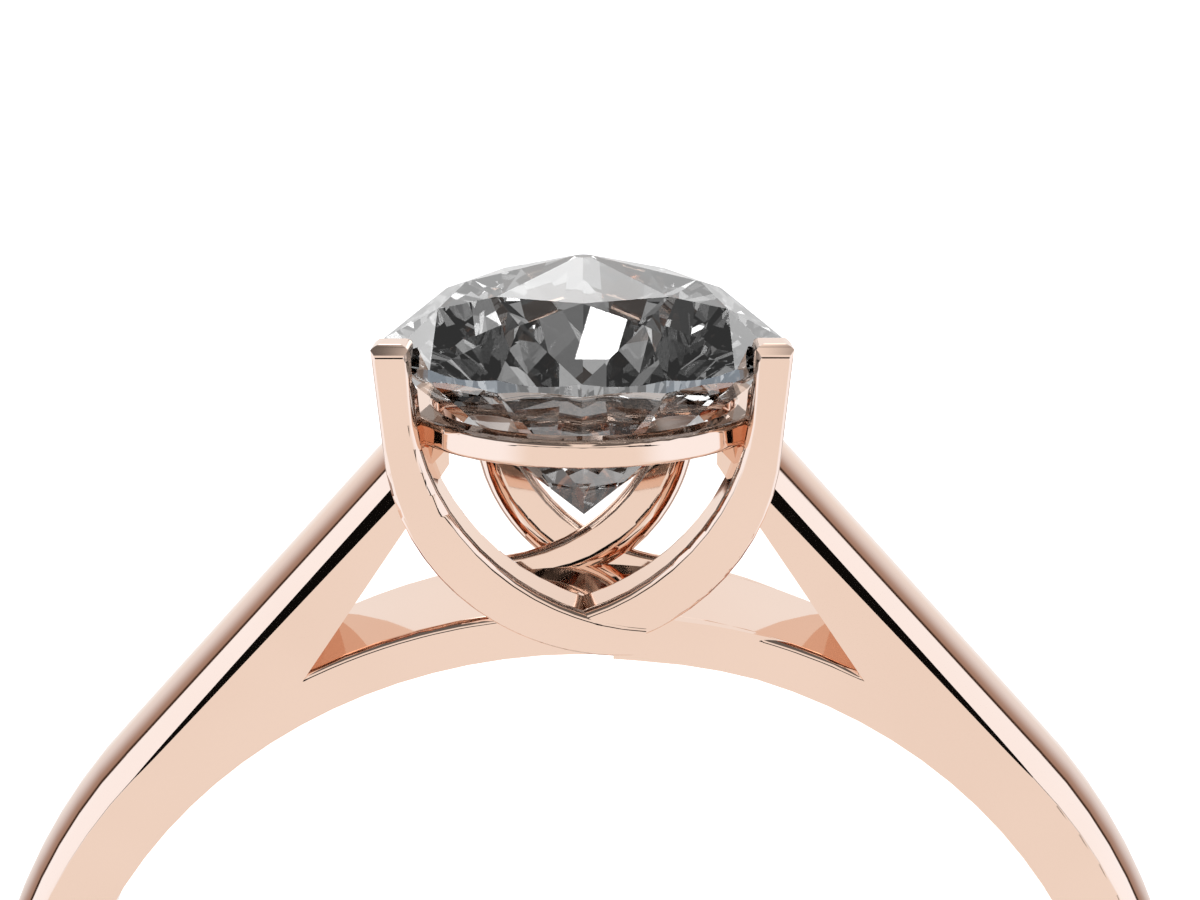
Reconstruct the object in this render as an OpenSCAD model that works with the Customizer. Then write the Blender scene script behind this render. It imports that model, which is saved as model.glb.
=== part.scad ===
// Solitaire engagement ring: a cathedral mount in rose gold with a round brilliant stone.
// The modules are drawn upright: X is across the front, the wearer's front is -Y, and Z points
// from the middle of the finger hole to the stone. At the end the ring is laid on its back.

/* [Shank] */
// Diameter of the finger hole
finger_d = 17; // [15:0.1:22]
// Width of the shank along the finger
shank_w = 2.64; // [2.2:0.02:3]
// Thickness of the shank at the crest of its domed outside
shank_t = 1.43; // [1.3:0.01:1.6]
// Thickness of the shank at its flat side faces
side_t = 0.94; // [0.8:0.01:1]
// Angle above level at which the shoulders leave the round shank
shoulder_angle = 42.1; // [40:0.1:44]
// Thickness of the arch that runs on under the setting
arch_t = 0.68; // [0.6:0.01:0.75]

/* [Stone] */
// Diameter of the stone
stone_d = 6; // [5.8:0.05:6.1]
// Height of the top edge of the girdle above the middle of the finger hole
girdle_z = 13.03; // [12.9:0.01:13.2]
// Thickness of the girdle
girdle_t = 0.18; // [0.1:0.01:0.25]
// Width of the crown's eight-sided top as a share of the stone's diameter
crown_top_share = 0.58; // [0.53:0.01:0.62]
// Height by which that top rises in eight shallow facets
peak_rise = 0.42; // [0.2:0.01:0.5]
// Radius of the small table at its middle
table_r = 0.15; // [0.1:0.01:0.3]
// Slope of the crown's main facets
crown_angle = 34.5; // [32:0.1:36]
// Slope of the pavilion's main facets
pavilion_angle = 40.6; // [40:0.1:41.5]
// Clearance between the stone and its seat
seat_gap = 0.03; // [0.02:0.01:0.06]

/* [Setting] */
// Depth of each claw from its outer face inward
claw_depth = 0.75; // [0.6:0.01:0.9]
// Height of the front claws' tips above the girdle's top edge
front_rise = 0.3; // [0.24:0.01:0.5]
// Height of the back claws' tips, which hide behind the crown
back_rise = 0.25; // [0.24:0.01:0.5]
// Outward lean of the front pair of claws
front_lean = 6; // [4:0.5:8]
// Outward lean of the back pair of claws
back_lean = 19; // [18:0.1:21]
// Rounding of the claws' inner edges
claw_round = 0.14; // [0.1:0.01:0.3]
// Rounding of the claws' outer edges on the side towards the stone
claw_back_round = 0.3; // [0.1:0.01:0.35]
// Outer radius of the gallery ring under the stone
gallery_r = 2.7; // [2.6:0.01:2.8]
// Height of the gallery ring's section
gallery_h = 0.4; // [0.3:0.01:0.5]
// Thickness of the gallery ring from its outer to its inner face
gallery_w = 0.45; // [0.4:0.01:0.6]

/* [Hidden] */
$fn = 96;

hole_r = finger_d / 2;
half_w = shank_w / 2;
crest_r = hole_r + shank_t;
edge_r = hole_r + side_t;
arch_r = hole_r + arch_t;
// The dome over the shank, and the circle that softens the edge between it and the side face
dome_h = crest_r - edge_r;
dome_r = (half_w * half_w + dome_h * dome_h) / (2 * dome_h);
edge_soft = 0.1;
soft_edge_r = crest_r - dome_r + sqrt(pow(dome_r - edge_soft, 2) - pow(half_w - edge_soft, 2));
far = 30;
leg_reach = 8;
// How far a straight run starts below the curve that it carries on
flush = 0.003;

// Strands of the front pair: middle, radius and lean of the outer and the inner edge
front_outer = [[0.566, girdle_z - 1.1], 3.417, 4.5];
front_inner = [[1.166, girdle_z - 0.46], 3.545, 2.5];
front_tip_x = -2.7;
// Strands of the back pair, which stand closer together
back_outer = [[1.02, girdle_z - 1.675], 2.825, 5];
back_inner = [[1.64, girdle_z - 1.015], 2.953, 2.5];
back_tip_x = -1.69;
// How far a strand runs past the crossing, and how far the one behind it is set back
front_end = 0.93;
back_end = 1.3;
front_step = 0.03;
back_step = 0.15;
// Where the fairing of the arch's face starts and ends, and how far out it stands
fairing_from = 64;
fairing_to = 87;
fairing_x = 0.9;
fairing_end_x = 2.6;
fairing_y = 1.49;
// Softened edges: the arch's two upper ones and those round a claw's top
arch_soft = 0.12;
tip_soft = 0.2;
gallery_z = girdle_z - 1.09;

// Height at which a claw's outer face stands proud of the arch, and how far out it is there
pivot_z = girdle_z - 4.35;
claw_face_y = 1.52;
front_tip_z = girdle_z + front_rise;
back_tip_z = girdle_z + back_rise;

// How the ring lies: it rests on the two back claw tips and on the lower side edge of the shank
tip_run = (back_tip_z - pivot_z - tip_soft * (1 + sin(back_lean))) / cos(back_lean);
touch_y = claw_face_y + tip_run * sin(back_lean) + tip_soft * (1 - cos(back_lean));
touch_z = back_tip_z - tip_soft;
lie_tilt = atan((touch_y - half_w) / (touch_z + soft_edge_r));
stone_r = stone_d / 2;
crown_top_r = stone_r * crown_top_share;
crown_h = (stone_r - crown_top_r) * tan(crown_angle);
table_z = crown_h + peak_rise * (1 - table_r / crown_top_r);
// Points where the star facets end: their radius and their height above the girdle
facet_step = 360 / 16;
star_r = stone_r * 0.757;
star_z = (stone_r - star_r * cos(facet_step)) * tan(crown_angle);
lie_height = (half_w - edge_soft) * cos(lie_tilt) + soft_edge_r * sin(lie_tilt) + edge_soft;
lie_top = (girdle_z + table_z) * cos(lie_tilt) + table_r * sin(lie_tilt);
lie_bottom = crest_r;
lie_shift = (lie_bottom - lie_top) / 2;

// Flat-sided section of the shank with a domed outside and softened edges, at its radius
module shank_section(inner) {
    dome_half = (half_w - edge_soft) * dome_r / (dome_r - edge_soft);
    translate([inner, -half_w]) square([soft_edge_r - inner, shank_w]);
    intersection() {
        translate([soft_edge_r - 0.1, -dome_half]) square([crest_r, 2 * dome_half]);
        translate([crest_r - dome_r, 0]) circle(r = dome_r);
    }
    for (side = [-1, 1]) translate([soft_edge_r, side * (half_w - edge_soft)]) circle(r = edge_soft);
}

// A solid turned about the Y axis between two angles, counted from +X towards +Z
module turned(from, to) {
    rotate([90, 0, 0]) rotate([0, 0, from]) rotate_extrude(angle = to - from) children();
}

// The round part of the shank, from inside one shoulder down round the finger to the other
module hoop() {
    run_in = 3;
    turned(180 - shoulder_angle - run_in, 360 + shoulder_angle + run_in) shank_section(hole_r);
}

// The thin arch that closes the finger hole under the setting
module arch() {
    turned(shoulder_angle, 180 - shoulder_angle) {
        translate([hole_r, -half_w]) square([arch_t - arch_soft, shank_w]);
        translate([hole_r, arch_soft - half_w]) square([arch_t, shank_w - 2 * arch_soft]);
        for (side = [-1, 1])
            translate([arch_r - arch_soft, side * (half_w - arch_soft)]) circle(r = arch_soft);
    }
}

// One cathedral shoulder: the shank's section run straight on to the setting, with the window below
// and a bevel between dome and side face that grows wider towards the setting
module shoulder() {
    tip_at = 3.08;
    tip_n = 8.52;
    top_at = 5.98;
    top_n = 8.94;
    reach = 7.6;
    lift = (top_n - tip_n) / (top_at - tip_at);
    start_n = hole_r + 0.1;
    bevel_slope = 20;
    bevel_drop = 0.016;
    bevel_turn = atan(bevel_drop * sin(bevel_slope));
    rotate([0, 90 - shoulder_angle, 0]) mirror([1, 0, 0]) intersection() {
        translate([0, 0, -flush]) rotate([0, 90, 0]) linear_extrude(reach)
            rotate([0, 0, 180]) shank_section(hole_r - 0.1);
        rotate([90, 0, 0]) linear_extrude(2 * far, center = true)
            polygon([[0, start_n], [tip_at, tip_n], [reach, tip_n + (reach - tip_at) * lift],
                [reach, 11], [0, 11]]);
        for_both_sides() translate([0, half_w, soft_edge_r + edge_soft * tan(bevel_slope / 2)])
            rotate([bevel_slope, 0, 0]) rotate([0, 0, -bevel_turn])
                translate([-far, -2 * far, -far]) cube(2 * far);
    }
}

// What two mirrored copies have in common
module for_both_sides() {
    intersection() {
        children();
        mirror([0, 1, 0]) children();
    }
}

// A strand's shape seen from the side, turned round its arc and run straight on to the tip
module arc_and_leg(centre, lean) {
    translate([centre[0], 0, centre[1]]) {
        rotate([-90, 0, 0]) rotate_extrude() children();
        rotate([0, -lean, 0]) translate([flush, 0, 0]) mirror([1, 0, 0])
            linear_extrude(leg_reach) children();
    }
}

// Everything within a strand's outer edge, with its two long edges softened, the inner one more
module within_outer(centre, radius, lean) {
    soft = 0.08;
    full = claw_depth - claw_back_round;
    arc_and_leg(centre, lean) {
        square([radius - claw_back_round, claw_depth]);
        translate([0, soft]) square([radius, full - soft]);
        square([radius - soft, full]);
        translate([radius - soft, soft]) circle(r = soft);
        translate([radius - claw_back_round, full]) circle(r = claw_back_round);
    }
}

// The space within a strand's inner edge, flared at both faces so that the metal left is rounded
module within_inner(centre, radius, lean) {
    deep = claw_depth - claw_round;
    arc_and_leg(centre, lean) {
        translate([0, -1]) square([radius, claw_depth + 2]);
        for (v = [[-1, claw_round, claw_round], [deep, claw_depth + 1, deep]])
            difference() {
                translate([0, v[0]]) square([radius + claw_round, v[1] - v[0]]);
                translate([radius + claw_round, v[2]]) circle(r = claw_round);
            }
    }
}

// Room for one strand: nothing past its end, and a top that is level once the claw leans out.
// top is its height at the outer face
module strand_room(top, tip_x, end_x, lean) {
    tip_half = 0.32;
    soft = tip_soft;
    outer_z = top - soft * (1 + sin(lean)) / cos(lean);
    inner_z = top - (soft + (claw_depth - soft) * sin(lean)) / cos(lean);
    across = soft * sin(lean);
    up = soft * cos(lean);
    intersection() {
        translate([0, 0, top]) rotate([90 - lean, 0, 0]) linear_extrude(2 * far, center = true) {
            translate([-far, -2 * far]) square([far + end_x, 2 * far - soft]);
            translate([tip_x - tip_half + soft, -1]) square([2 * (tip_half - soft), 1]);
            for (side = [-1, 1]) translate([tip_x + side * (tip_half - soft), -soft]) circle(r = soft);
        }
        rotate([90, 0, 90]) linear_extrude(2 * far, center = true) {
            polygon([[-1, -far], [claw_depth + 1, -far], [claw_depth + 1, inner_z],
                [claw_depth - soft, inner_z], [claw_depth - soft + across, inner_z + up],
                [soft + across, outer_z + up], [soft, outer_z], [-1, outer_z]]);
            translate([soft, outer_z]) circle(r = soft);
            translate([claw_depth - soft, inner_z]) circle(r = soft);
        }
        translate([tip_x, claw_depth / 2, top]) rotate([-lean, 0, 0]) tip_nose();
    }
}

// Room that rounds the four corners of a claw's tip, and widens below it
module tip_nose() {
    nose_r = 0.4;
    above = 0.1;
    neck = 0.3;
    flare_r = 0.55;
    flare = 0.8;
    rotate_extrude() {
        polygon([[0, -2 * far], [far, -2 * far], [far, -flare - 0.1], [flare_r, -flare], [nose_r, -neck],
            [nose_r, above - tip_soft], [nose_r - tip_soft, above - tip_soft],
            [nose_r - tip_soft, above], [0, above]]);
        translate([nose_r - tip_soft, above - tip_soft]) circle(r = tip_soft);
    }
}

// One strand with its outer face at y = 0: a claw above that sweeps down and across to the arch.
// outer and inner hold the arc's middle [x, z], its radius and the lean of the claw's edge
module strand(outer, inner, tip_x, top, end_x, lean) {
    intersection() {
        difference() {
            within_outer(outer[0], outer[1], outer[2]);
            within_inner(inner[0], inner[1], inner[2]);
        }
        strand_room(top, tip_x, end_x, lean);
    }
}

// A pair that crosses under the stone: the strand from the left lies outside the other, which
// is set back by step. They run on past the middle to ends
module crossed_pair(outer, inner, tip_x, tip_z, lean, step, ends) {
    top = pivot_z + (tip_z - pivot_z) / cos(lean);
    translate([0, -claw_face_y, pivot_z]) rotate([lean, 0, 0]) translate([0, 0, -pivot_z]) {
        strand(outer, inner, tip_x, top, ends[0], lean);
        translate([0, step, 0]) mirror([1, 0, 0]) strand(outer, inner, tip_x, top, ends[1], lean);
    }
}

// The arch's face brought out to the crossing strand, and faired back further on
module fairing() {
    intersection() {
        turned(fairing_from, fairing_to)
            translate([hole_r, half_w - 0.2]) square([arch_t, 1]);
        linear_extrude(far) polygon([[0, -fairing_y], [fairing_x, -fairing_y], [fairing_end_x, -half_w],
            [fairing_end_x + 0.5, 0.1 - half_w], [0, 0.1 - half_w]]);
    }
}

// The band that ties the four claws together under the stone
module gallery() {
    soft = 0.1;
    inner_r = gallery_r - gallery_w;
    translate([0, 0, gallery_z - gallery_h / 2]) rotate_extrude() {
        translate([inner_r + soft, 0]) square([gallery_w - 2 * soft, gallery_h]);
        translate([inner_r, soft]) square([gallery_w, gallery_h - 2 * soft]);
        for (u = [inner_r + soft, gallery_r - soft], v = [soft, gallery_h - soft])
            translate([u, v]) circle(r = soft);
    }
}

// The stone's own space with its clearance, which the claws are notched by
module seat() {
    grown_r = stone_r + seat_gap;
    crown_gap = seat_gap / cos(crown_angle);
    pavilion_gap = seat_gap / cos(pavilion_angle);
    deep = grown_r * tan(pavilion_angle) + girdle_t + pavilion_gap;
    translate([0, 0, girdle_z]) rotate_extrude() polygon([
        [0, -deep], [grown_r, -girdle_t - pavilion_gap], [grown_r, crown_gap],
        [star_r, star_z + crown_gap], [crown_top_r, crown_h + crown_gap], [0, crown_h + crown_gap]]);
}

module upright_mount() {
    difference() {
        union() {
            hoop();
            arch();
            intersection() {
                union() {
                    shoulder();
                    mirror([1, 0, 0]) shoulder();
                }
                shoulder_room();
            }
            gallery();
            crossed_pair(front_outer, front_inner, front_tip_x, front_tip_z, front_lean, front_step,
                [front_end, 0]);
            fairing();
            mirror([0, 1, 0]) {
                crossed_pair(back_outer, back_inner, back_tip_x, back_tip_z, back_lean, back_step,
                    [back_end, back_end]);
                fairing();
            }
        }
        seat();
    }
}

// The shoulders stop at the gallery band, outside its inner edge
module shoulder_room() {
    inner_r = gallery_r - gallery_w + 0.1;
    difference() {
        translate([-far, -far, 0]) cube([2 * far, 2 * far, gallery_z]);
        cylinder(r = inner_r, h = far);
    }
}

// Half of space below a plane that slopes down by slope, away from the axis at azimuth az,
// and passes at distance rho and height z
module below(az, slope, rho, z) {
    rotate([0, 0, az]) translate([rho, 0, z]) rotate([0, slope, 0])
        translate([-far, -far, -2 * far]) cube(2 * far);
}

// A round brilliant with a low peak for its top: 65 facets over a polished girdle of flats
module upright_stone() {
    lower_r = stone_r * 0.23;
    step = facet_step;
    lower_z = (stone_r - lower_r * cos(step)) * tan(pavilion_angle);
    chord = stone_r * cos(step / 2);
    star_slope = atan((crown_h - star_z) / (star_r - crown_top_r * cos(step)));
    peak_slope = atan(peak_rise / (crown_top_r * cos(step)));
    upper_slope = atan(star_z / ((stone_r - star_r) * cos(step / 2)));
    lower_slope = atan(lower_z / ((stone_r - lower_r) * cos(step / 2)));
    girdle_flats = 64;
    translate([0, 0, girdle_z]) intersection() {
        translate([0, 0, -2 * stone_r]) linear_extrude(2 * stone_r + table_z)
            polygon([for (i = [0:girdle_flats - 1])
                stone_r * [cos(i * 360 / girdle_flats), sin(i * 360 / girdle_flats)]]);
        intersection_for (i = [0:7]) {
            az = i * 2 * step;
            intersection() {
                below(az, crown_angle, stone_r, 0);
                below(az + step, star_slope, star_r, star_z);
                below(az + step, peak_slope, crown_top_r * cos(step), crown_h);
                below(az + step / 2, upper_slope, chord, 0);
                below(az - step / 2, upper_slope, chord, 0);
                below(az + step, 180 - pavilion_angle, stone_r, -girdle_t);
                below(az + step / 2, 180 - lower_slope, chord, -girdle_t);
                below(az - step / 2, 180 - lower_slope, chord, -girdle_t);
            }
        }
    }
}

// Lays the upright ring on its back, on the surface at z = 0
module laid() {
    translate([0, lie_shift, lie_height]) rotate([lie_tilt - 90, 0, 0]) children();
}

module gold_mount() {
    color([0.93, 0.72, 0.6]) laid() upright_mount();
}

module round_stone() {
    color([0.55, 0.56, 0.58]) laid() upright_stone();
}

gold_mount();
round_stone();
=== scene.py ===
import math

import bpy
from mathutils import Matrix, Vector

MM = 0.001
# How far the lying ring leans from level, in degrees
LYING_TILT = 4.3348
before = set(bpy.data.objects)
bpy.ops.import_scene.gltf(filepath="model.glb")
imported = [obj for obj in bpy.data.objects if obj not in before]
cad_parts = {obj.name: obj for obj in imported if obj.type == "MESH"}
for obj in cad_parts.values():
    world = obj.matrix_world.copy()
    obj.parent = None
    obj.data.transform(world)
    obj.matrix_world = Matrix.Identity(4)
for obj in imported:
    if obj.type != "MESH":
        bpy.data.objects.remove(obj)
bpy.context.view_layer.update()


def grey(level):
    return (level, level, level, 1)


# Shader nodes written as expressions
class Term:
    """One output of a shader node. Arithmetic on it adds Math nodes to its tree."""

    def __init__(self, shader, socket):
        self.shader = shader
        self.socket = socket

    def other(self, name):
        """Another output of the same node."""
        return Term(self.shader, self.socket.node.outputs[name])

    def math(self, operation, *terms):
        return self.shader.node("ShaderNodeMath", {"operation": operation}, *terms)

    def __add__(self, term):
        return self.math("ADD", self, term)

    __radd__ = __add__

    def __sub__(self, term):
        return self.math("SUBTRACT", self, term)

    def __rsub__(self, term):
        return self.math("SUBTRACT", term, self)

    def __mul__(self, term):
        return self.math("MULTIPLY", self, term)

    __rmul__ = __mul__

    def __abs__(self):
        return self.math("ABSOLUTE", self)

    def most(self, term):
        return self.math("MAXIMUM", self, term)

    def least(self, term):
        return self.math("MINIMUM", self, term)

    def step(self, low, high):
        """0 below low and 1 above high, with a soft change between them."""
        settings = {"interpolation_type": "SMOOTHSTEP", "clamp": True}
        return self.shader.node("ShaderNodeMapRange", settings, self, low, high, 0.0, 1.0)

    def between(self, first_edge, last_edge):
        """1 from the first soft edge to the last one, each a pair of numbers, and 0 outside them."""
        return self.step(*first_edge) * (1 - self.step(*last_edge))


class Shader:
    """The nodes of one material or of the world."""

    def __init__(self, owner):
        owner.use_nodes = True
        self.tree = owner.node_tree
        self.tree.nodes.clear()

    def node(self, kind, settings=None, *values, out=0, **named):
        """Adds a node: its settings come first, then its sockets in order and by name.
        The setting "stops" gives a colour ramp its steps, each a place and a level of grey."""
        made = self.tree.nodes.new(kind)
        settings = dict(settings or {})
        for place, level in settings.pop("stops", ()):
            stop = made.color_ramp.elements[0] if place == 0 else made.color_ramp.elements.new(place)
            stop.color = grey(level)
            made.color_ramp.interpolation = "CONSTANT"
        for key, value in settings.items():
            setattr(made, key, value)
        for socket, value in zip(made.inputs, values):
            self.feed(socket, value)
        for key, value in named.items():
            self.feed(made.inputs[key.replace("_", " ")], value)
        return Term(self, made.outputs[out]) if made.outputs else made

    def feed(self, socket, value):
        """Links a term to a socket, or sets a plain value on it."""
        if isinstance(value, Term):
            self.tree.links.new(value.socket, socket)
        else:
            socket.default_value = value

    def mix(self, share, first, second):
        """A colour between two others."""
        made = self.tree.nodes.new("ShaderNodeMix")
        made.data_type = "RGBA"
        inputs = {socket.identifier: socket for socket in made.inputs}
        self.feed(inputs["Factor_Float"], share)
        self.feed(inputs["A_Color"], first)
        self.feed(inputs["B_Color"], second)
        return Term(self, next(s for s in made.outputs if s.identifier == "Result_Color"))


# Materials
def noise(s, scale, detail):
    place = s.node("ShaderNodeTexCoord", out="Object")
    settings = {"noise_dimensions": "3D"}
    return s.node("ShaderNodeTexNoise", settings, Vector=place, Scale=scale, Detail=detail)


def polished_gold():
    """Rose gold off the polishing wheel: a mirror with the faintest haze and waviness."""
    material = bpy.data.materials.new("rose_gold_polished")
    s = Shader(material)
    haze = noise(s, 900.0, 3.0)
    swirl = noise(s, 260.0, 2.0)
    colour = s.mix(swirl.step(0.35, 0.7), (0.845, 0.625, 0.505, 1), (0.865, 0.645, 0.525, 1))
    bump = s.node("ShaderNodeBump", Strength=0.03, Distance=0.01 * MM, Height=swirl)
    gold = s.node(
        "ShaderNodeBsdfPrincipled",
        Base_Color=colour, Metallic=1.0, Roughness=0.03 + 0.03 * haze, Normal=bump,
    )
    s.node("ShaderNodeOutputMaterial", None, gold)
    return material


def clear_stone():
    """The cut stone: clear, with a high index and polished facets."""
    material = bpy.data.materials.new("brilliant_clear")
    s = Shader(material)
    polish = noise(s, 700.0, 2.0)
    glass = s.node(
        "ShaderNodeBsdfPrincipled",
        Base_Color=grey(1), Metallic=0.0, Roughness=0.004 * polish, IOR=2.417, Transmission_Weight=1.0,
    )
    s.node("ShaderNodeOutputMaterial", None, glass)
    return material


def finish_node(name, material):
    """Gives a node of the frame its material in every slot."""
    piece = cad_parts[name]
    if not piece.material_slots:
        piece.data.materials.append(material)
    for slot in piece.material_slots:
        slot.material = material


finish_node("gold_mount", polished_gold())
finish_node("round_stone", clear_stone())


# Surface that the ring lies on
def lying_board():
    """A pale board with a light of its own, which neither the gold nor the stone shows."""
    half = 0.6
    corners = [(-half, -half, 0), (half, -half, 0), (half, half, 0), (-half, half, 0)]
    mesh = bpy.data.meshes.new("board")
    mesh.from_pydata(corners, [], [(0, 1, 2, 3)])
    board = bpy.data.objects.new("board", mesh)
    bpy.context.scene.collection.objects.link(board)
    material = bpy.data.materials.new("board_pale")
    s = Shader(material)
    paint = s.node(
        "ShaderNodeBsdfPrincipled",
        Base_Color=grey(0.8), Roughness=0.9, Emission_Color=grey(1), Emission_Strength=1.0,
    )
    s.node("ShaderNodeOutputMaterial", None, paint)
    mesh.materials.append(material)
    board.visible_glossy = False
    board.visible_transmission = False


lying_board()


# Light: a white room round the ring
def direction_in(s):
    """Where a ray goes, as the ring would say it: across, up towards the stone and to the front."""
    ray = s.node("ShaderNodeTexCoord", out="Generated")
    across = s.node("ShaderNodeSeparateXYZ", None, ray, out="X")
    away = across.other("Y")
    high = across.other("Z")
    lean = math.radians(LYING_TILT)
    up = math.cos(lean) * away + math.sin(lean) * high
    front = math.cos(lean) * high - math.sin(lean) * away
    return across, up, front


def studio_light(s, across, up, front):
    """What the gold mirrors. Each part of the room is painted over the ones before it."""
    wide = abs(across)
    back = -1 * front

    # White walls, a little cooler and brighter at the sides
    light = s.mix(wide.step(0.5, 0.8), grey(1), (1.15, 1.29, 1.45, 1))

    # Dark ceiling with a gap along its middle, crossed by a beam where the lamp hangs
    beam = back.between((0.1, 0.12), (0.2, 0.22))
    ceiling = up.step(0.5, 0.55) * wide.step(0.08, 0.12).most(beam)
    light = s.mix(ceiling, light, grey(0.15))

    # Two bright panels high at the back, which the top facets of the stone mirror
    panel_light = s.mix(across.step(-0.02, 0.02), grey(2.6), grey(1.9))
    panels = up.between((0.42, 0.46), (0.68, 0.7)) * back.step(0.6, 0.64)
    light = s.mix(panels, light, panel_light)

    # Black strip behind the camera, level in the middle and falling to both sides
    strip_up = 0.13 - 1.55 * (wide - 0.59).most(0.0)
    strip = (1 - abs(up - strip_up).step(0.08, 0.11)) * (1 - wide.step(0.71, 0.76))
    light = s.mix(strip * front.step(-0.09, -0.03), light, grey(0.004))

    # Brown fold low at the back, with a dark seam where it starts
    low = 1 - up.step(0.4, 0.5)
    fold_start = (0.445, 0.465)
    light = s.mix(low * back.between(fold_start, (0.52, 0.92)), light, (0.42, 0.3, 0.25, 1))
    light = s.mix(low * back.between(fold_start, (0.485, 0.525)), light, (0.05, 0.03, 0.02, 1))

    # Small slanted lamp overhead, which makes the white patch on the stone's front facet
    lamp_back = 0.164
    from_middle = abs(across - 0.3 * (back - lamp_back) - 0.002)
    lamp = (1 - from_middle.step(0.01, 0.011)) * (1 - abs(back - lamp_back).step(0.0145, 0.0155))
    return s.mix(lamp * up.step(0.9, 0.92), light, grey(9))


def stone_light(s):
    """What is seen through the stone: panels of the same room in many greys."""
    ray = s.node("ShaderNodeTexCoord", out="Generated")
    settings = {"feature": "F1", "distance": "EUCLIDEAN"}
    panels = s.node("ShaderNodeTexVoronoi", settings, out="Color", Vector=ray, Scale=2.7, Randomness=1.0)
    chance = s.node("ShaderNodeSeparateColor", None, panels)
    levels = ((0.0, 0.0), (0.18, 0.05), (0.36, 0.16), (0.58, 0.29), (0.8, 0.48), (0.95, 1.8))
    return s.node("ShaderNodeValToRGB", {"stops": levels}, chance)


def room():
    """Rays that leave the stone see its panels, and those mirrored inside it see a dark room."""
    world = bpy.data.worlds.new("room")
    bpy.context.scene.world = world
    s = Shader(world)
    across, up, front = direction_in(s)
    out_of_stone = s.node("ShaderNodeLightPath", out="Is Transmission Ray")
    been_in_stone = out_of_stone.other("Transmission Depth").least(1.0)
    light = s.mix(been_in_stone, studio_light(s, across, up, front), grey(0.05))
    light = s.mix(out_of_stone, light, stone_light(s))
    s.node("ShaderNodeOutputWorld", None, s.node("ShaderNodeBackground", None, light, 1.0))


room()


# Camera, as the photograph was taken
def photograph_camera():
    data = bpy.data.cameras.new("camera")
    data.lens = 57.0
    data.sensor_width = 36.0
    data.clip_start = 0.001
    data.clip_end = 10.0
    camera = bpy.data.objects.new("camera", data)
    bpy.context.scene.collection.objects.link(camera)
    place = Vector((0.247, 14.546, 31.283)) * MM
    look = Vector((0, -0.188018, -0.982166))
    above = Vector((0, 0.982166, -0.188018))
    right = look.cross(above)
    turn = Matrix((right, above, -look)).transposed().to_4x4()
    camera.matrix_world = Matrix.Translation(place) @ turn
    bpy.context.scene.camera = camera


photograph_camera()
scene = bpy.context.scene
scene.view_settings.view_transform = "Standard"
scene.cycles.max_bounces = 16
scene.cycles.transmission_bounces = 16
scene.cycles.glossy_bounces = 8
